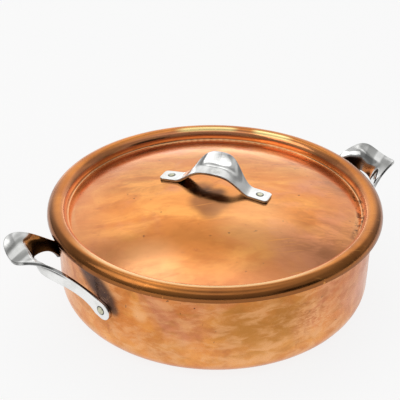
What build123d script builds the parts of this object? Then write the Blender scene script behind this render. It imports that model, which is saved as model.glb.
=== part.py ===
"""Copper rondeau pan with a domed lid, two loop handles and a lid handle.

Origin at the middle of the underside of the base, +Z up, loop handles along X.
All sizes are in millimetres.
"""
import os
from math import asin, cos, radians, sin, sqrt

from build123d import *

# Pan body
pan_radius = 142.0
pan_copper = 2.0
pan_steel = 0.5
base_corner = 18.0
rim_flare = 4.0
rim_turn = 75.0

# Lid, its rolled bead reaching past the pan's wall
lid_overhang = 8.0
lid_copper = 1.2
lid_steel = 0.4
bead_radius = 8.5
skirt_height = 82.7
skirt_length = 0.4
dome_rise = 21.8
groove_depth = 3.6
groove_rounding = 1.5
rest_gap = 0.3

# Loop handles, one strap each, riveted to the pan's wall
loop_thickness = 2.6
loop_width = 16.0
loop_tip_rounding = 7.8
loop_tip_length = 9.5
loop_heel_length = 4.5
loop_foot_slope = 16.0
loop_rivet_angle = 21.3
loop_rivet_height = 44.4
loop_grip_half = 13.0
loop_low_out = 27.0
loop_low_rise = 27.1
loop_lip_half = 36.9
loop_lip_out = 50.2
loop_lip_rise = 39.3
loop_crown = 8.0

# Lid handle, one strap riveted to the dome
lid_handle_thickness = 2.5
lid_handle_width = 16.0
lid_handle_tip_rounding = 3.5
lid_handle_tip_length = 9.3
lid_handle_heel_length = 7.8
lid_handle_half_span = 42.7
lid_handle_turn = -51.9
lid_handle_grip_half = 11.0
lid_handle_arch = 14.0
lid_handle_lip_back = 15.5
lid_handle_lip_rise = 25.8
lid_handle_scoop = 5.5

# Rounding along the edges of both straps, how sharply they fold along the middle
# of their width, and how far the fold has grown at each control point from the
# heel to the middle of the grip
strap_edge_rounding = 0.5
fold_sharpness = 3.0
fold_growth = (0, 0, 0, 0.5, 1, 1)

# Rivets
loop_rivet_radius = 3.3
loop_rivet_head = 6.5
lid_rivet_radius = 2.6
lid_rivet_head = 5.5
rivet_head_height = 1.8
rivet_head_rounding = 1.2
rivet_stand_out = 0.4
rivet_end_rounding = 0.3

# Sizes that follow from the ones above
pan_wall = pan_copper + pan_steel
lid_wall = lid_copper + lid_steel
lid_radius = pan_radius + lid_overhang
bead_height = skirt_height + skirt_length
bead_ring = lid_radius - bead_radius
groove_height = skirt_height - groove_depth
groove_radius = bead_ring - sqrt(bead_radius**2 - (bead_height - groove_height) ** 2)
dome_top = groove_height + dome_rise
dome_radius = (groove_radius**2 + dome_rise**2) / (2 * dome_rise)
drill_reach = 2 * (pan_wall + loop_thickness)
loop_seat_depth = pan_radius - sqrt((pan_radius - pan_wall) ** 2 - loop_rivet_head**2)
lid_seat_depth = dome_radius - sqrt((dome_radius - lid_wall) ** 2 - lid_rivet_head**2)


def pan_outline():
    """Outside of the pan from the middle of its base to the tip of its flared rim."""
    turn = radians(rim_turn)
    flare_out = pan_radius + rim_flare * (1 - cos(turn))
    tip_out = flare_out - pan_wall * cos(turn)
    bead_inside = bead_radius - lid_wall
    tip_top = bead_height + sqrt((bead_inside - rest_gap) ** 2 - (tip_out - bead_ring) ** 2)
    flare_top = tip_top - pan_wall * sin(turn)
    flare_start = flare_top - rim_flare * sin(turn)
    with BuildLine() as outline:
        Line((0, 0), (pan_radius - base_corner, 0))
        RadiusArc((pan_radius - base_corner, 0), (pan_radius, base_corner), -base_corner)
        Line((pan_radius, base_corner), (pan_radius, flare_start))
        RadiusArc((pan_radius, flare_start), (flare_out, flare_top), rim_flare)
    return outline.line


def lid_outline():
    """Outside of the lid from the top of its dome, over the bead, to the skirt's edge."""
    crest = (bead_ring, bead_height + bead_radius)
    with BuildLine() as outline:
        RadiusArc((0, dome_top), (groove_radius, groove_height), dome_radius)
        RadiusArc((groove_radius, groove_height), crest, bead_radius)
        RadiusArc(crest, (lid_radius, bead_height), bead_radius)
        Line((lid_radius, bead_height), (lid_radius, skirt_height))
        groove = outline.vertices().sort_by_distance((groove_radius, groove_height))[0]
        fillet(groove, groove_rounding)
    return outline.line


def sheet(outline, side, near, far):
    """Spun sheet metal lying between two depths under an outline."""
    with BuildPart() as skin:
        with BuildSketch(Plane.XZ):
            with BuildLine():
                add(outline)
                offset(amount=far, side=side, closed=True)
            make_face()
            if near:
                with BuildLine():
                    add(outline)
                    offset(amount=near, side=side, closed=True)
                make_face(mode=Mode.SUBTRACT)
        revolve(axis=Axis.Z)
    return skin.part


def drilled(blank, planes, radius):
    """A piece with a rivet hole through it at each plane."""
    with BuildPart() as piece:
        add(blank)
        for plane in planes:
            with BuildSketch(plane):
                Circle(radius)
        extrude(amount=drill_reach, both=True, mode=Mode.SUBTRACT)
    return piece.part


def rivet(plane, radius, head_radius, seat_depth, strap_thickness):
    """Rivet through a wall and a strap; the plane lies on the wall's outside."""
    seat = plane.offset(-seat_depth)
    outward = Axis(plane.origin, plane.z_dir)
    with BuildPart() as body:
        with BuildSketch(seat):
            Circle(radius)
        extrude(amount=seat_depth + strap_thickness + rivet_stand_out)
        fillet(body.faces().sort_by(outward)[-1].edges(), rivet_end_rounding)
        with BuildSketch(seat):
            Circle(head_radius)
        extrude(amount=-rivet_head_height)
        fillet(body.faces().sort_by(outward)[0].edges(), rivet_head_rounding)
    return body.part


def share_of_thickness(face, thickness):
    """Mean width of a long narrow face as a share of the strap's thickness."""
    return 2 * face.area / (face.wire().length * thickness)


def strap(foot_plane, foot, low_arm, high_arm, crown, thickness, middle_plane):
    """Bent strap: a flat foot, an arm that runs to the middle of the grip, and their mirror image.

    The foot lists tip length, heel length, width and tip rounding about its rivet.
    Each arm lists the control points of one long edge, half way through the thickness.
    The crown is how far the fold in the grip stands out from a line between its edges.
    """
    tip_length, heel_length, width, tip_rounding = foot
    fold_arm = [
        (low + high) / 2 + crown * (1 + 1 / fold_sharpness) * growth
        for low, high, growth in zip(low_arm, high_arm, fold_growth)
    ]
    edge_weights = [1.0] * len(fold_arm)
    fold_weights = [fold_sharpness] * len(fold_arm)
    arm = Face.make_bezier_surface(
        [high_arm, fold_arm, low_arm], [edge_weights, fold_weights, edge_weights]
    )
    with BuildPart() as body:
        with BuildSketch(foot_plane) as sole:
            with Locations(((heel_length - tip_length) / 2, 0)):
                Rectangle(tip_length + heel_length, width)
            fillet(sole.vertices().group_by(Axis.X)[0], tip_rounding)
        extrude(amount=thickness)
        thicken(arm, amount=thickness / 2, both=True)
        mirror(about=middle_plane)
        narrow = body.faces().filter_by(lambda face: share_of_thickness(face, thickness) < 1.1)
        broad = body.faces().filter_by(lambda face: share_of_thickness(face, thickness) >= 1.1)
        narrow_edges = narrow.edges()
        fillet([edge for edge in broad.edges() if edge in narrow_edges], strap_edge_rounding)
    return body.part


def loop_rivet_plane(side, way):
    """Plane on the pan's wall at a rivet; side is -1 left, 1 right, way is -1 front, 1 rear."""
    angle = radians(loop_rivet_angle)
    out = Vector(side * cos(angle), way * sin(angle), 0)
    return Plane(origin=out * pan_radius + Vector(0, 0, loop_rivet_height), z_dir=out)


def lid_rivet_plane(way):
    """Plane on the dome at a rivet of the lid handle; way is -1 left, 1 right."""
    lean = asin(lid_handle_half_span / dome_radius)
    turn = radians(lid_handle_turn)
    out = Vector(way * sin(lean) * cos(turn), way * sin(lean) * sin(turn), cos(lean))
    return Plane(origin=out * dome_radius + Vector(0, 0, dome_top - dome_radius), z_dir=out)


def loop_strap():
    """Right loop handle, its arms rising from the wall to a lip flared outwards."""
    angle = radians(loop_rivet_angle)
    slope = radians(loop_foot_slope)
    out = Vector(cos(angle), -sin(angle), 0)
    inward = Vector(sin(angle) * cos(slope), cos(angle) * cos(slope), sin(slope))
    rivet_point = out * pan_radius + Vector(0, 0, loop_rivet_height)
    foot_plane = Plane(origin=rivet_point, x_dir=inward, z_dir=out)
    low_heel = foot_plane.from_local_coords((loop_heel_length, -loop_width / 2, loop_thickness / 2))
    high_heel = foot_plane.from_local_coords((loop_heel_length, loop_width / 2, loop_thickness / 2))

    def point(along, away, up):
        return Vector(pan_radius + away, rivet_point.Y * along, loop_rivet_height + up)

    low_arm = [
        low_heel,
        low_heel + inward * 5.5,
        point(0.745, 0.16 * loop_low_out, 1.04 * loop_low_rise),
        point(0.195, 1.29 * loop_low_out, 0.595 * loop_low_rise),
        point(0, loop_low_out, loop_low_rise) - Vector(0, loop_grip_half, 0),
        point(0, loop_low_out, loop_low_rise),
    ]
    high_arm = [
        high_heel,
        high_heel + inward * 6.5,
        point(0.56, 0.133 * loop_lip_out, 0.593 * loop_lip_rise),
        point(0.39, 0.793 * loop_lip_out, 1.66 * loop_lip_rise),
        point(0, loop_lip_out, loop_lip_rise) - Vector(0, loop_lip_half, 0),
        point(0, loop_lip_out, loop_lip_rise),
    ]
    across = Vector(loop_lip_out - loop_low_out, 0, loop_lip_rise - loop_low_rise).normalized()
    crown = Vector(-across.Z, 0, across.X) * loop_crown
    foot = (loop_tip_length, loop_heel_length, loop_width, loop_tip_rounding)
    return strap(foot_plane, foot, low_arm, high_arm, crown, loop_thickness, Plane.XZ)


def lid_strap():
    """Lid handle at the top of the dome, low edge in front and lip raised at the back."""
    lean = asin(lid_handle_half_span / dome_radius)
    out = Vector(-sin(lean), 0, cos(lean))
    inward = Vector(cos(lean), 0, sin(lean))
    rivet_point = out * dome_radius - Vector(0, 0, dome_radius)
    foot_plane = Plane(origin=rivet_point, x_dir=inward, z_dir=out)
    half_width = lid_handle_width / 2
    low_heel = foot_plane.from_local_coords((lid_handle_heel_length, -half_width, lid_handle_thickness / 2))
    high_heel = foot_plane.from_local_coords((lid_handle_heel_length, half_width, lid_handle_thickness / 2))

    def point(along, back, up):
        return Vector(-lid_handle_half_span * along, back, up)

    low_arm = [
        low_heel,
        low_heel + inward * 3.3,
        point(0.54, -half_width, 0.44 * lid_handle_arch),
        point(0.46, -half_width, 0.93 * lid_handle_arch),
        point(0, -half_width, lid_handle_arch) - Vector(lid_handle_grip_half, 0, 0),
        point(0, -half_width, lid_handle_arch),
    ]
    lip_back = lid_handle_lip_back
    high_arm = [
        high_heel,
        high_heel + inward * 9.3,
        point(0.48, 0.55 * lip_back, 0.48 * lid_handle_lip_rise),
        point(0.365, 0.99 * lip_back, 0.94 * lid_handle_lip_rise),
        point(0, lip_back, lid_handle_lip_rise) - Vector(lid_handle_grip_half, 0, 0),
        point(0, lip_back, lid_handle_lip_rise),
    ]
    across = Vector(0, lip_back + half_width, lid_handle_lip_rise - lid_handle_arch).normalized()
    scoop = Vector(0, across.Z, -across.Y) * lid_handle_scoop
    foot = (lid_handle_tip_length, lid_handle_heel_length, lid_handle_width, lid_handle_tip_rounding)
    blank = strap(foot_plane, foot, low_arm, high_arm, scoop, lid_handle_thickness, Plane.YZ)
    with BuildPart() as placed:
        with Locations(Location((0, 0, dome_top), (0, 0, lid_handle_turn))):
            add(blank)
    return placed.part


loop_rivet_planes = {
    f"{side_name}_handle_{way_name}_rivet": loop_rivet_plane(side, way)
    for side_name, side in (("left", -1), ("right", 1))
    for way_name, way in (("front", -1), ("rear", 1))
}
lid_rivet_planes = {
    f"lid_handle_{way_name}_rivet": lid_rivet_plane(way)
    for way_name, way in (("left", -1), ("right", 1))
}
wall_planes = list(loop_rivet_planes.values())
dome_planes = list(lid_rivet_planes.values())

pieces = {
    "pan_copper_shell": drilled(
        sheet(pan_outline(), Side.LEFT, 0, pan_copper), wall_planes, loop_rivet_radius
    ),
    "pan_steel_lining": drilled(
        sheet(pan_outline(), Side.LEFT, pan_copper, pan_wall), wall_planes, loop_rivet_radius
    ),
    "lid_copper_shell": drilled(
        sheet(lid_outline(), Side.RIGHT, 0, lid_copper), dome_planes, lid_rivet_radius
    ),
    "lid_steel_lining": drilled(
        sheet(lid_outline(), Side.RIGHT, lid_copper, lid_wall), dome_planes, lid_rivet_radius
    ),
    "lid_handle": drilled(lid_strap(), dome_planes, lid_rivet_radius),
    "right_handle": drilled(loop_strap(), wall_planes, loop_rivet_radius),
}
pieces["left_handle"] = mirror(pieces["right_handle"], about=Plane.YZ)
for name, plane in loop_rivet_planes.items():
    pieces[name] = rivet(plane, loop_rivet_radius, loop_rivet_head, loop_seat_depth, loop_thickness)
for name, plane in lid_rivet_planes.items():
    pieces[name] = rivet(plane, lid_rivet_radius, lid_rivet_head, lid_seat_depth, lid_handle_thickness)

os.makedirs("parts", exist_ok=True)
for name, piece in pieces.items():
    piece.label = name
    export_step(piece, f"parts/{name}.step")
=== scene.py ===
"""Rondeau pan in aged copper with polished steel handles, dressed for the photograph."""
from math import cos, radians, sin

import bpy
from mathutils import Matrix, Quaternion, Vector

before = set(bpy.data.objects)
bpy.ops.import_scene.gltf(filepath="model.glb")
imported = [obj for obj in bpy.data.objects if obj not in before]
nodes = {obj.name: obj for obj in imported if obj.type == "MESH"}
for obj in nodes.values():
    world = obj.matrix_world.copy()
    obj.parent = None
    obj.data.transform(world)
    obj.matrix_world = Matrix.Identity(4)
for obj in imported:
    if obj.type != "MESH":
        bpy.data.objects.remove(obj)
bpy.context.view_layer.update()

# Camera: where it stands and what it looks at in metres, its turn in degrees, its lens in millimetres
camera_place = Vector((-0.32411, -0.58232, 0.47776))
camera_target = Vector((-0.01123, 0.00723, 0.08444))
camera_roll = -0.211
camera_lens = 76.99

# Colours of the finishes, and of painted light and shade, as linear light
copper_orange = (0.79, 0.280, 0.070)
copper_gold = (0.93, 0.400, 0.105)
copper_pink = (0.78, 0.315, 0.165)
copper_pale = (0.93, 0.480, 0.215)
# Painted light in the groove on the far side
copper_groove_light = (0.93, 0.53, 0.26)
copper_red = (0.55, 0.165, 0.058)
copper_brown = (0.33, 0.125, 0.045)
copper_olive = (0.50, 0.215, 0.050)
# Dark of specks and soot, also used for painted shade and a painted shadow
copper_soot_and_shade = (0.075, 0.036, 0.026)
bronze_light = (0.72, 0.262, 0.050)
bronze_deep = (0.50, 0.165, 0.032)
# Painted highlight along the bead's near crest
bronze_crest_highlight = (1.0, 0.70, 0.36)
# Painted highlights on the far side of the bead
bronze_far_highlight = (1.0, 0.78, 0.33)
# Painted shade on the bead
bronze_painted_shade = (0.20, 0.070, 0.020)
steel_light = (0.90, 0.90, 0.885)
steel_worn = (0.78, 0.78, 0.76)
# Painted dark reflections on the handles' lips
steel_lip_shade = (0.24, 0.24, 0.23)
# Painted shade on the steel handles
steel_painted_shade = (0.020, 0.014, 0.011)
lining_pale = (0.62, 0.61, 0.59)
lining_straw = (0.54, 0.50, 0.43)
rivet_pale = (0.66, 0.64, 0.48)
rivet_dull = (0.42, 0.41, 0.27)
seam_dirt = (0.030, 0.028, 0.024)
floor_white = (0.96, 0.96, 0.955)
white = (1.0, 1.0, 1.0)

# Tints that darken the copper under them
shade_tint = (0.70, 0.62, 0.55)
# Painted shade on the upper wall, under the lid's bead
upper_wall_shade = (0.86, 0.80, 0.76)

# Distances from the lid's upright axis, in metres, where each ring starts, is full, fades and ends
# Ring of painted light in the groove
groove_light_ring = (0.1245, 0.1275, 0.1318, 0.1340)
sooty_groove = (0.1255, 0.1290, 0.1330, 0.1350)
# Ring on the bead's inner side that takes the far painted highlights
bead_inner_side = (0.1346, 0.1362, 0.1386, 0.1402)
# Ring that takes the painted highlight along the bead's near crest
crest_highlight_ring = (0.1358, 0.1380, 0.1398, 0.1428)

# Distances between which the bead takes over from the disc, and between which painted shade sets in on its
# outer and near sides
bead_start = (0.1345, 0.1390)
bead_outer_side = (0.1385, 0.1460)
bead_near_side = (0.1405, 0.1440)

# Stretches round the lid, in degrees from the right handle's side, each with the same four limits
sooty_stretch = (-58, -46, -24, -12)
# Two stretches of the far bead that take painted highlights
far_highlight_stretch_left = (50, 55, 73, 80)
far_highlight_stretch_right = (25, 31, 42, 46)

# Painted highlights on the lid: centre, the two distances between which each fades, and its share
lid_painted_highlights = (
    ((-0.094, -0.063, 0.086), 0.008, 0.036, 0.55),
    ((0.006, -0.060, 0.096), 0.010, 0.050, 0.50),
)

# Broken tarnish marks on the lid's disc, listed in the same way and with their colour
disc_stains = (
    ((0.055, -0.100, 0.086), 0.015, 0.070, 0.42, copper_brown),
    ((0.092, 0.017, 0.091), 0.002, 0.016, 0.75, copper_brown),
    ((-0.055, 0.045, 0.096), 0.010, 0.045, 0.28, copper_brown),
    ((0.118, -0.030, 0.084), 0.004, 0.034, 0.60, copper_brown),
    ((0.030, -0.045, 0.098), 0.004, 0.018, 0.40, copper_brown),
)

# Full painted reflection of the handle and painted shade on the lid below it
handle_reflection_and_shade = (
    ((-0.0165, -0.022, 0.0998), 0.013, 0.0230, 0.85, copper_brown),
    ((-0.0245, -0.036, 0.0988), 0.004, 0.0130, 0.75, copper_brown),
    ((-0.0110, 0.001, 0.1006), 0.003, 0.0140, 0.60, copper_soot_and_shade),
    ((-0.021, 0.000, 0.1003), 0.001, 0.009, 0.65, copper_soot_and_shade),
    ((-0.011, -0.006, 0.1005), 0.001, 0.010, 0.75, copper_soot_and_shade),
    ((-0.002, -0.012, 0.1005), 0.001, 0.010, 0.75, copper_soot_and_shade),
)

# Painted shadow of the left handle's front arm on the wall beside it
arm_shadow_on_wall = (
    ((-0.1385, -0.031, 0.077), 0.005, 0.016, 0.78, copper_soot_and_shade),
    ((-0.1360, -0.041, 0.070), 0.006, 0.017, 0.88, copper_soot_and_shade),
    ((-0.1330, -0.050, 0.063), 0.006, 0.016, 0.92, copper_soot_and_shade),
    ((-0.1300, -0.057, 0.056), 0.005, 0.014, 0.94, copper_soot_and_shade),
    ((-0.1272, -0.063, 0.049), 0.002, 0.008, 0.80, copper_soot_and_shade),
)

# One handle's rivet end in the quarter where all its distances are positive, and its radius, in metres
loop_rivet = ((0.1346, 0.0525, 0.0444), 0.0033)
lid_rivet = ((0.0264, 0.0338, 0.1015), 0.0026)

# Lip with painted dark reflections: axis along which the strap reaches it, where it starts and is full, its
# share
loop_lip = (0, 0.162, 0.178, 0.97)
lid_lip = (2, 0.1090, 0.117, 0.55)

# Upward share of a face's direction at which the painted shade below starts and at which it is full
loop_shade_below = (-0.30, -0.55)
lid_shade_below = (-0.15, -0.40)


def rgba(colour):
    return (*colour, 1.0)


class Paints:
    """Small helper that adds shader nodes to one material or world and links them."""

    def __init__(self, tree):
        self.tree = tree

    def add(self, kind, settings=None, **inputs):
        node = self.tree.nodes.new(kind)
        for key, value in (settings or {}).items():
            setattr(node, key, value)
        for key, value in inputs.items():
            self.feed(node, key, value)
        return node

    def feed(self, node, key, value):
        """Link or set one input, named or given as i and its number."""
        socket = node.inputs[int(key[1:])] if key[0] == "i" and key[1:].isdigit() else node.inputs[key]
        if isinstance(value, bpy.types.NodeSocket):
            self.tree.links.new(value, socket)
        else:
            socket.default_value = value

    def maths(self, operation, *values):
        node = self.tree.nodes.new("ShaderNodeMath")
        node.operation = operation
        for number, value in enumerate(values):
            self.feed(node, f"i{number}", value)
        return node.outputs[0]

    def times(self, first, second):
        return self.maths("MULTIPLY", first, second)

    def plus(self, first, second):
        return self.maths("ADD", first, second)

    def minus(self, first, second):
        return self.maths("SUBTRACT", first, second)

    def most(self, first, second):
        return self.maths("MAXIMUM", first, second)

    def blend(self, share, low, high, way="MIX"):
        node = self.tree.nodes.new("ShaderNodeMix")
        node.data_type = "RGBA"
        node.blend_type = way
        self.feed(node, "i0", share)
        self.feed(node, "i6", low if isinstance(low, bpy.types.NodeSocket) else rgba(low))
        self.feed(node, "i7", high if isinstance(high, bpy.types.NodeSocket) else rgba(high))
        return node.outputs[2]

    def ramp(self, value, low, high, low_out=0.0, high_out=1.0):
        """Smooth step from one output to the other between two values."""
        node = self.tree.nodes.new("ShaderNodeMapRange")
        node.interpolation_type = "SMOOTHSTEP"
        for number, item in enumerate((value, low, high, low_out, high_out)):
            self.feed(node, f"i{number}", item)
        return node.outputs[0]

    def band(self, value, start, full, fade, end):
        """One inside a band of values, falling to nothing at its two ends."""
        return self.times(self.ramp(value, start, full), self.ramp(value, fade, end, 1.0, 0.0))

    def sweep(self, value, low, high, low_out=0.0, high_out=1.0):
        """Ramp of an angle between two limits in degrees."""
        return self.ramp(value, radians(low), radians(high), low_out, high_out)

    def arc(self, value, start, full, fade, end):
        """Band of an angle with its four limits in degrees."""
        return self.band(value, radians(start), radians(full), radians(fade), radians(end))

    def spot(self, place, centre, full, end):
        """One near a point of the piece, falling to nothing at the outer distance."""
        node = self.add("ShaderNodeVectorMath", {"operation": "DISTANCE"}, i0=place, i1=centre)
        return self.ramp(node.outputs["Value"], full, end, 1.0, 0.0)

    def spotted(self, place, colour, spots, breaks=1.0):
        """Colour with dark spots laid over it, broken up where the breaks are low; some are painted shade
        and reflection.
        """
        for centre, full, end, share, spot_colour in spots:
            dark_overlay = self.times(self.spot(place, centre, full, end), breaks)
            colour = self.blend(self.times(dark_overlay, share), colour, spot_colour)
        return colour

    def toward(self, parts, degrees):
        """Distance from the upright axis measured towards one side of the pan."""
        return self.plus(self.times(parts.outputs[0], cos(radians(degrees))),
                         self.times(parts.outputs[1], sin(radians(degrees))))

    def noise(self, vector, scale, detail=2.0, roughness=0.5, distortion=0.0):
        node = self.tree.nodes.new("ShaderNodeTexNoise")
        self.feed(node, "Vector", vector)
        self.feed(node, "Scale", scale)
        self.feed(node, "Detail", detail)
        self.feed(node, "Roughness", roughness)
        self.feed(node, "Distortion", distortion)
        return node.outputs[0]

    def turned(self, vector, degrees, stretch):
        """Place turned about the upright axis and then stretched."""
        node = self.add("ShaderNodeMapping", {"vector_type": "TEXTURE"}, i0=vector)
        node.inputs["Rotation"].default_value = (0.0, 0.0, radians(-degrees))
        node.inputs["Scale"].default_value = [1.0 / share for share in stretch]
        return node.outputs[0]


def fresh_material(name):
    material = bpy.data.materials.new(name)
    material.use_nodes = True
    tree = material.node_tree
    tree.nodes.clear()
    paints = Paints(tree)
    shader = paints.add("ShaderNodeBsdfPrincipled")
    output = paints.add("ShaderNodeOutputMaterial")
    tree.links.new(shader.outputs[0], output.inputs[0])
    return material, paints, shader


def object_place(paints):
    """Place on the piece, its three distances, and how far it is from the upright axis."""
    place = paints.add("ShaderNodeTexCoord").outputs["Object"]
    parts = paints.add("ShaderNodeSeparateXYZ", i0=place)
    across, along, _ = parts.outputs
    radius = paints.maths("SQRT", paints.plus(paints.times(across, across), paints.times(along, along)))
    return place, parts, radius


def ring_place(paints, parts, radius, heights):
    """Vector that runs round the upright axis, its upward part multiplied by the heights."""
    across, along, level = parts.outputs
    share = paints.maths("DIVIDE", 1.0, paints.most(radius, 0.001))
    upward = paints.times(paints.minus(level, radius), heights)
    ring = paints.add("ShaderNodeCombineXYZ", i0=paints.times(across, share),
                      i1=paints.times(along, share), i2=upward)
    return ring.outputs[0]


def scratches(paints, place, degrees, threshold):
    """Thin broken lines along one direction."""
    lines = paints.noise(paints.turned(place, degrees, (14.0, 900.0, 260.0)), 1.0, 1.0, 0.4, 0.2)
    patches = paints.noise(place, 19.0, 2.0, 0.5)
    return paints.times(paints.ramp(lines, threshold, threshold + 0.06), paints.ramp(patches, 0.5, 0.62))


def copper_base(paints, place, pink_share, brown_share):
    """Clouds of golden, pink and reddish copper, thin brown veils, fine mottling and dark specks."""
    drift = paints.turned(place, 28.0, (1.0, 1.9, 1.4))
    gold = paints.noise(drift, 15.0, 5.0, 0.62, 0.7)
    pink = paints.noise(place, 11.0, 4.0, 0.6, 0.5)
    veil = paints.noise(drift, 24.0, 7.0, 0.66, 0.9)
    shade = paints.noise(drift, 33.0, 4.0, 0.6, 0.4)
    mottle = paints.noise(place, 95.0, 4.0, 0.6)
    specks = paints.noise(place, 260.0, 1.0, 0.4)
    colour = paints.blend(paints.ramp(gold, 0.40, 0.64), copper_orange, copper_gold)
    colour = paints.blend(paints.ramp(pink, 0.48, 0.64, 0.0, pink_share), colour, copper_pink)
    colour = paints.blend(paints.ramp(shade, 0.44, 0.68, 0.0, brown_share), colour, shade_tint, "MULTIPLY")
    colour = paints.blend(paints.ramp(veil, 0.52, 0.70, 0.0, brown_share), colour, copper_red)
    colour = paints.blend(paints.ramp(veil, 0.63, 0.76, 0.0, brown_share), colour, copper_brown)
    colour = paints.blend(paints.ramp(mottle, 0.55, 0.75, 0.0, 0.22), colour, copper_red)
    colour = paints.blend(paints.ramp(specks, 0.765, 0.80, 0.0, 0.8), colour, copper_soot_and_shade)
    return colour, gold, veil, mottle


def finish_metal(paints, shader, colour, rough, height, strength, depth):
    """Metal with a colour, a roughness and a relief of a given strength and depth in metres."""
    paints.feed(shader, "Base Color", colour)
    shader.inputs["Metallic"].default_value = 1.0
    paints.feed(shader, "Roughness", rough)
    bump = paints.add("ShaderNodeBump", Strength=strength, Distance=depth, Height=height)
    paints.feed(shader, "Normal", bump.outputs[0])


def bead_bronze(paints, place, parts, radius):
    """Cloudy bronze of the rolled bead, with painted shade below it and on the outside of three of its
    sides.
    """
    clouds = paints.noise(place, 16.0, 4.0, 0.6, 0.4)
    colour = paints.blend(paints.ramp(clouds, 0.35, 0.68), bronze_deep, bronze_light)
    facing = paints.add("ShaderNodeSeparateXYZ", i0=paints.add("ShaderNodeNewGeometry").outputs["Normal"])
    # Painted shade where the bead faces down
    colour = paints.blend(paints.ramp(facing.outputs[2], 0.70, -0.10, 0.0, 0.95), colour, bronze_painted_shade)
    outer = paints.ramp(radius, *bead_outer_side)
    # Painted shade on the outside of the bead to the left, to the right and on the near side
    left = paints.times(paints.ramp(paints.toward(parts, 178.0), 0.095, 0.140, 0.0, 0.75), outer)
    right = paints.times(paints.ramp(paints.toward(parts, -24.0), 0.096, 0.138, 0.0, 0.84), outer)
    near = paints.times(paints.ramp(paints.toward(parts, -100.0), 0.100, 0.138, 0.0, 0.62),
                        paints.ramp(radius, *bead_near_side))
    return paints.blend(paints.most(paints.most(left, right), near), colour, bronze_painted_shade)


def lid_copper(name):
    """Spun copper lid: satin cloudy disc, bronze bead, dark crumbs in one stretch of the groove, with
    painted highlights, painted light, painted shade and a painted reflection of the handle.
    """
    material, paints, shader = fresh_material(name)
    place, parts, radius = object_place(paints)
    angle = paints.maths("ARCTAN2", parts.outputs[1], parts.outputs[0])
    colour, gold, veil, mottle = copper_base(paints, place, 0.75, 0.34)
    colour = paints.blend(paints.ramp(radius, 0.085, 0.130, 0.0, 0.5), colour, copper_pink)
    smoke = paints.noise(paints.turned(place, 28.0, (1.0, 2.6, 1.4)), 30.0, 5.0, 0.65, 0.6)
    colour = paints.spotted(place, colour, disc_stains, paints.ramp(smoke, 0.40, 0.62))
    # Painted reflection of the handle and painted shade on the disc below it
    colour = paints.spotted(place, colour, handle_reflection_and_shade, paints.ramp(smoke, 0.2, 0.6, 0.8, 1.0))
    # Painted highlights on the front left and front of the disc
    left, front = (paints.times(paints.spot(place, *highlight_place), share) for *highlight_place, share in lid_painted_highlights)
    colour = paints.blend(paints.most(left, front), colour, copper_pale)
    # Painted light in the groove, on the far side only
    groove_light = paints.times(paints.band(radius, *groove_light_ring),
                          paints.ramp(paints.toward(parts, 61.0), -0.070, 0.030, 0.0, 0.75))
    colour = paints.blend(groove_light, colour, copper_groove_light)
    bead = paints.ramp(radius, *bead_start)
    colour = paints.blend(paints.times(bead, 0.9), colour, bead_bronze(paints, place, parts, radius))
    # Painted highlight along the bead's crest on the near side
    crest_highlight = paints.times(paints.band(radius, *crest_highlight_ring),
                         paints.ramp(paints.toward(parts, -126.0), 0.085, 0.128, 0.0, 0.85))
    colour = paints.blend(crest_highlight, colour, bronze_crest_highlight)
    # Painted highlights on the inner side of the far bead
    far_highlight = paints.most(paints.arc(angle, *far_highlight_stretch_left), paints.arc(angle, *far_highlight_stretch_right))
    far_highlight = paints.times(far_highlight, paints.band(radius, *bead_inner_side))
    colour = paints.blend(far_highlight, colour, bronze_far_highlight)
    crumbs = paints.ramp(paints.noise(place, 85.0, 5.0, 0.7, 0.3), 0.46, 0.56)
    groove = paints.times(paints.band(radius, *sooty_groove), paints.arc(angle, *sooty_stretch))
    colour = paints.blend(paints.times(paints.times(groove, crumbs), 0.85), colour, copper_soot_and_shade)
    marks = scratches(paints, place, 12.0, 0.66)
    colour = paints.blend(paints.times(marks, 0.5), colour, copper_gold)
    rough = paints.plus(paints.ramp(gold, 0.3, 0.7, 0.19, 0.12), paints.ramp(veil, 0.45, 0.75, 0.0, 0.10))
    rough = paints.plus(rough, paints.ramp(mottle, 0.35, 0.7, -0.015, 0.03))
    rough = paints.plus(rough, paints.times(bead, 0.03))
    dents = paints.times(paints.noise(place, 17.0, 2.0, 0.45), paints.minus(1.0, paints.times(bead, 0.8)))
    height = paints.plus(dents, paints.times(marks, -0.004))
    finish_metal(paints, shader, colour, rough, height, 0.09, 0.0006)
    return material


def wall_rubs_and_low_light(paints, place, level, ring, patches):
    """Pale rub marks on the front and near the left handle's front rivet, and painted light in patches low
    on the wall.
    """
    middle = paints.times(paints.spot(place, (0.016, -0.141, 0.040), 0.006, 0.034),
                          paints.ramp(paints.noise(ring, 26.0, 5.0, 0.7, 0.5), 0.42, 0.62))
    rivet = paints.spot(place, (-0.1135, -0.085, 0.0537), 0.002, 0.009)
    # Painted light in patches low on the wall
    low = paints.times(paints.ramp(level, 0.045, 0.020), paints.ramp(patches, 0.40, 0.66, 0.2, 0.8))
    return paints.most(paints.most(middle, rivet), low)


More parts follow.
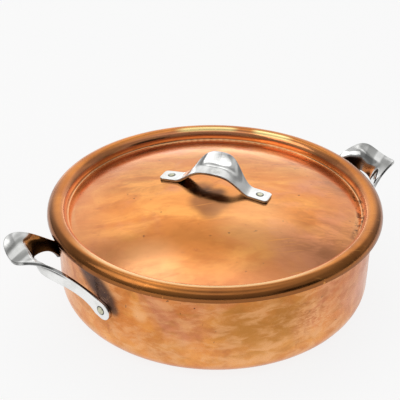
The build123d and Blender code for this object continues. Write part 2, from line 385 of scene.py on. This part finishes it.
def pan_copper(name):
    """Copper wall with handling patches, olive and reddish bands, rub marks, scratches, and painted light
    and shade.
    """
    material, paints, shader = fresh_material(name)
    place, parts, radius = object_place(paints)
    level = parts.outputs[2]
    ring = ring_place(paints, parts, radius, 16.0)
    angle = paints.maths("ARCTAN2", parts.outputs[1], parts.outputs[0])
    colour, gold, veil, mottle = copper_base(paints, place, 0.9, 0.60)
    bands = paints.noise(ring, 5.5, 5.0, 0.62, 0.8)
    colour = paints.blend(paints.ramp(bands, 0.48, 0.66, 0.0, 0.40), colour, copper_olive)
    olive = paints.times(paints.spot(place, (-0.030, -0.138, 0.060), 0.018, 0.060),
                         paints.ramp(gold, 0.34, 0.60, 0.30, 0.80))
    colour = paints.blend(olive, colour, copper_olive)
    # Painted shade: darker towards the top of the wall, under the lid's bead
    colour = paints.blend(paints.ramp(level, 0.022, 0.060, 0.0, 0.8), colour, upper_wall_shade, "MULTIPLY")
    patches = paints.noise(ring, 8.0, 3.0, 0.58, 0.4)
    colour = paints.blend(paints.ramp(patches, 0.44, 0.72, 0.0, 0.55), colour, copper_pale)
    # Rub marks, and painted light low on the wall
    rubs = wall_rubs_and_low_light(paints, place, level, ring, patches)
    colour = paints.blend(paints.times(rubs, 0.75), colour, copper_pale)
    # Reddish tarnish and painted shade on the right side of the wall
    right = paints.times(paints.sweep(angle, -86, -58), paints.ramp(angle, 0.0, 0.6, 1.0, 0.3))
    right = paints.times(right, paints.ramp(veil, 0.35, 0.60, 0.25, 0.85))
    colour = paints.blend(paints.times(right, 0.75), colour, copper_red)
    # Painted shadow of the left handle's front arm
    colour = paints.spotted(place, colour, arm_shadow_on_wall)
    colour = paints.blend(paints.ramp(level, 0.004, 0.016, 0.6, 0.0), colour, copper_red)
    marks = paints.most(scratches(paints, ring, 35.0, 0.64), scratches(paints, ring, -50.0, 0.66))
    colour = paints.blend(paints.times(marks, 0.55), colour, copper_pale)
    rough = paints.plus(paints.ramp(gold, 0.3, 0.7, 0.28, 0.18), paints.ramp(veil, 0.45, 0.75, 0.0, 0.12))
    rough = paints.plus(rough, paints.ramp(patches, 0.5, 0.7, 0.0, 0.08))
    height = paints.plus(paints.noise(place, 21.0, 2.0, 0.45), paints.times(mottle, 0.03))
    height = paints.plus(height, paints.times(marks, -0.015))
    finish_metal(paints, shader, colour, rough, height, 0.36, 0.0006)
    return material


def rear_arm_inside(paints, facing, parts):
    """Inner face of a loop handle's rear arm, which takes painted shade: it looks towards the pan and not
    far up.
    """
    outward = paints.times(facing.outputs[0], paints.maths("SIGN", parts.outputs[0]))
    inside = paints.times(paints.ramp(facing.outputs[2], 0.50, 0.40), paints.ramp(outward, -0.25, -0.45))
    return paints.times(inside, paints.ramp(parts.outputs[1], -0.005, 0.012))


def mirror_steel(name, rivet, lip, shade_below, shaded_rear_arm=False):
    """Mirror-polished stainless strap with painted shade below, painted dark reflections on its lip, dirt
    round its rivets.
    """
    material, paints, shader = fresh_material(name)
    place = paints.add("ShaderNodeTexCoord").outputs["Object"]
    parts = paints.add("ShaderNodeSeparateXYZ", i0=place)
    facing = paints.add("ShaderNodeSeparateXYZ", i0=paints.add("ShaderNodeNewGeometry").outputs["Normal"])
    lines = paints.noise(paints.turned(place, 40.0, (60.0, 1500.0, 300.0)), 1.0, 2.0, 0.6)
    rubs = paints.noise(place, 85.0, 4.0, 0.6)
    colour = paints.blend(paints.ramp(rubs, 0.42, 0.72), steel_light, steel_worn)
    lip_axis, lip_start, lip_full, lip_share = lip
    # Painted dark reflections in stripes on the lip
    lip_stripes = paints.noise(paints.turned(place, 51.0, (100.0, 8.0, 10.0)), 1.0, 1.0, 0.5, 0.2)
    darkening = paints.times(paints.ramp(paints.maths("ABSOLUTE", parts.outputs[lip_axis]), lip_start, lip_full),
                        paints.ramp(lip_stripes, 0.38, 0.60, 1.0, 0.40))
    colour = paints.blend(paints.times(darkening, lip_share), colour, steel_lip_shade)
    # Painted shade on faces that look down, and inside a rear arm when asked
    below = paints.ramp(facing.outputs[2], *shade_below)
    if shaded_rear_arm:
        below = paints.most(rear_arm_inside(paints, facing, parts), below)
    dark_overlay = paints.times(below, paints.ramp(rubs, 0.25, 0.6, 0.95, 1.0))
    colour = paints.blend(dark_overlay, colour, steel_painted_shade)
    folded = paints.add("ShaderNodeVectorMath", {"operation": "ABSOLUTE"}, i0=place).outputs[0]
    rivet_end, rivet_radius = rivet
    seam = paints.spot(folded, rivet_end, rivet_radius + 0.0005, rivet_radius + 0.0013)
    colour = paints.blend(paints.times(seam, 0.95), colour, seam_dirt)
    rough = paints.plus(paints.ramp(rubs, 0.35, 0.75, 0.08, 0.17), paints.ramp(lines, 0.35, 0.7, 0.0, 0.05))
    rough = paints.plus(rough, paints.times(below, 0.18))
    finish_metal(paints, shader, colour, rough, lines, 0.10, 0.0002)
    return material


def brushed_lining(name):
    """Steel lining with fine circular brushing and a straw heat tint."""
    material, paints, shader = fresh_material(name)
    place, parts, radius = object_place(paints)
    marks = paints.noise(ring_place(paints, parts, radius, 260.0), 9.0, 4.0, 0.7)
    tint = paints.noise(place, 12.0, 3.0, 0.5)
    colour = paints.blend(paints.ramp(tint, 0.45, 0.7), lining_pale, lining_straw)
    finish_metal(paints, shader, colour, paints.ramp(marks, 0.25, 0.75, 0.26, 0.42), marks, 0.2, 0.0002)
    return material


def rivet_steel(name):
    """Satin rivet end, dulled and yellowed."""
    material, paints, shader = fresh_material(name)
    place = paints.add("ShaderNodeTexCoord").outputs["Object"]
    grain = paints.noise(place, 900.0, 3.0, 0.6)
    darkening = paints.noise(place, 300.0, 3.0, 0.6)
    colour = paints.blend(paints.ramp(darkening, 0.40, 0.65), rivet_pale, rivet_dull)
    finish_metal(paints, shader, colour, paints.ramp(grain, 0.3, 0.7, 0.22, 0.40), darkening, 0.35, 0.0002)
    return material


def dress(material, *names):
    """Put one material on every slot of the named pieces."""
    for name in names:
        piece = nodes[name]
        if not piece.material_slots:
            piece.data.materials.append(material)
        for slot in piece.material_slots:
            slot.material = material


def pale_floor():
    """White table top: seen and mirrored as nearly white, it keeps the pan's soft shadow."""
    bpy.ops.mesh.primitive_plane_add(size=8.0, location=(0.0, 0.0, 0.0))
    floor = bpy.context.object
    floor.name = "floor"
    material = bpy.data.materials.new("pale_floor")
    material.use_nodes = True
    material.node_tree.nodes.clear()
    paints = Paints(material.node_tree)
    matt = paints.add("ShaderNodeBsdfDiffuse", Color=rgba(floor_white))
    glow = paints.add("ShaderNodeEmission", Color=rgba(white))
    sight = paints.add("ShaderNodeLightPath")
    seen = paints.most(sight.outputs["Is Camera Ray"], sight.outputs["Is Glossy Ray"])
    seen = paints.most(seen, sight.outputs["Is Transmission Ray"])
    mixed = paints.add("ShaderNodeMixShader", i0=paints.times(seen, 0.86),
                       i1=matt.outputs[0], i2=glow.outputs[0])
    output = paints.add("ShaderNodeOutputMaterial")
    material.node_tree.links.new(mixed.outputs[0], output.inputs[0])
    floor.data.materials.append(material)


def room_light(paints, direction):
    """Strength of the room's light from each direction, in angles seen from the pan.

    Height is above the floor, side is round to the left from straight ahead of the camera, and pitch is
    the height of a line that runs straight across ahead of the camera, past 90 when it is behind.
    """
    parts = paints.add("ShaderNodeSeparateXYZ", i0=direction)
    across, along, upward = parts.outputs
    away = camera_target - camera_place
    rear = Vector((away.x, away.y, 0.0)).normalized()
    ahead = paints.plus(paints.times(across, rear.x), paints.times(along, rear.y))
    leftward = paints.plus(paints.times(across, -rear.y), paints.times(along, rear.x))
    height = paints.maths("ARCSINE", upward)
    side = paints.maths("ARCTAN2", leftward, ahead)
    aside = paints.maths("ABSOLUTE", side)
    pitch = paints.maths("ARCTAN2", upward, ahead)

    # The backdrop grows brighter upwards to a sharp edge, past which the ceiling is dimmer
    strength = paints.sweep(height, -5, 42, 0.84, 1.18)
    strength = paints.minus(strength, paints.times(paints.arc(pitch, 47, 49, 100, 130), 0.50))
    strength = paints.minus(strength, paints.sweep(height, 69, 75, 0.0, 0.22))

    # A soft strip of light high over the left of the backdrop, a glow beside it, and one overhead
    strip = paints.times(paints.arc(pitch, 58, 61, 67, 71), paints.arc(side, 8, 20, 34, 46))
    strength = paints.plus(strength, paints.times(strip, 1.1))
    glow = paints.times(paints.arc(pitch, 57, 62, 66, 72), paints.sweep(aside, 10, 24, 0.40, 0.0))
    strength = paints.plus(strength, glow)
    overhead = paints.times(paints.arc(pitch, 65, 69, 84, 92),
                            paints.ramp(paints.maths("ABSOLUTE", leftward), 0.20, 0.40, 0.55, 0.0))
    strength = paints.plus(strength, overhead)

    # A bright band low on the backdrop
    horizon = paints.times(paints.arc(height, -2, 0, 4, 9), paints.sweep(aside, 28, 48, 1.0, 0.0))
    strength = paints.plus(strength, paints.times(horizon, 0.8))

    # The room is dimmer to both sides and behind the camera, and dimmest near the floor
    dimming = paints.plus(paints.sweep(aside, 22, 50, 0.0, 0.56), paints.sweep(aside, 95, 135, 0.0, 0.18))
    dimming = paints.times(dimming, paints.sweep(height, 45, 58, 1.0, 0.05))
    strength = paints.times(strength, paints.minus(1.0, dimming))
    low = paints.times(paints.sweep(aside, 32, 60), paints.sweep(height, 4, 18, 0.40, 0.0))
    strength = paints.times(strength, paints.minus(1.0, low))

    # One dark stretch stands low behind the camera on its right
    dark = paints.times(paints.arc(side, -146, -138, -112, -108), paints.arc(height, -20, -10, 24, 30))
    return paints.times(strength, paints.minus(1.0, paints.times(dark, 0.88)))


def studio_world():
    """White all round for the camera; the room's light for everything else."""
    world = bpy.data.worlds.new("studio")
    bpy.context.scene.world = world
    world.use_nodes = True
    world.node_tree.nodes.clear()
    paints = Paints(world.node_tree)
    strength = room_light(paints, paints.add("ShaderNodeTexCoord").outputs["Generated"])
    sight = paints.add("ShaderNodeLightPath")
    strength = paints.add("ShaderNodeMix", {"data_type": "FLOAT"},
                          i0=sight.outputs["Is Camera Ray"], i2=strength, i3=1.0)
    background = paints.add("ShaderNodeBackground", Color=rgba(white), Strength=strength.outputs[0])
    output = paints.add("ShaderNodeOutputWorld")
    world.node_tree.links.new(background.outputs[0], output.inputs[0])


def soft_lamp(name, place, target, size, power):
    light = bpy.data.lights.new(name, "AREA")
    light.shape = "RECTANGLE"
    light.size, light.size_y = size
    light.energy = power
    lamp = bpy.data.objects.new(name, light)
    lamp.location = place
    lamp.rotation_euler = (Vector(target) - Vector(place)).to_track_quat("-Z", "Y").to_euler()
    bpy.context.scene.collection.objects.link(lamp)


def set_camera():
    lens = bpy.data.cameras.new("camera")
    lens.lens = camera_lens
    lens.sensor_width = 36.0
    lens.clip_start = 0.01
    camera = bpy.data.objects.new("camera", lens)
    camera.location = camera_place
    sight = (camera_target - camera_place).normalized()
    turn = Quaternion(sight, radians(camera_roll)) @ sight.to_track_quat("-Z", "Y")
    camera.rotation_euler = turn.to_euler()
    bpy.context.scene.collection.objects.link(camera)
    bpy.context.scene.camera = camera


dress(lid_copper("aged_lid_copper"), "lid_copper_shell")
dress(pan_copper("aged_pan_copper"), "pan_copper_shell")
dress(mirror_steel("loop_steel", loop_rivet, loop_lip, loop_shade_below, shaded_rear_arm=True),
      "left_handle", "right_handle")
dress(mirror_steel("lid_handle_steel", lid_rivet, lid_lip, lid_shade_below), "lid_handle")
dress(brushed_lining("brushed_lining"), "pan_steel_lining", "lid_steel_lining")
dress(rivet_steel("rivet_steel"), *[name for name in nodes if name.endswith("_rivet")])

pale_floor()
studio_world()
soft_lamp("left_light", (-1.21, 0.19, 1.42), (0, 0, 0.1), (1.1, 0.9), 4.0)
set_camera()
bpy.context.scene.view_settings.view_transform = "Standard"
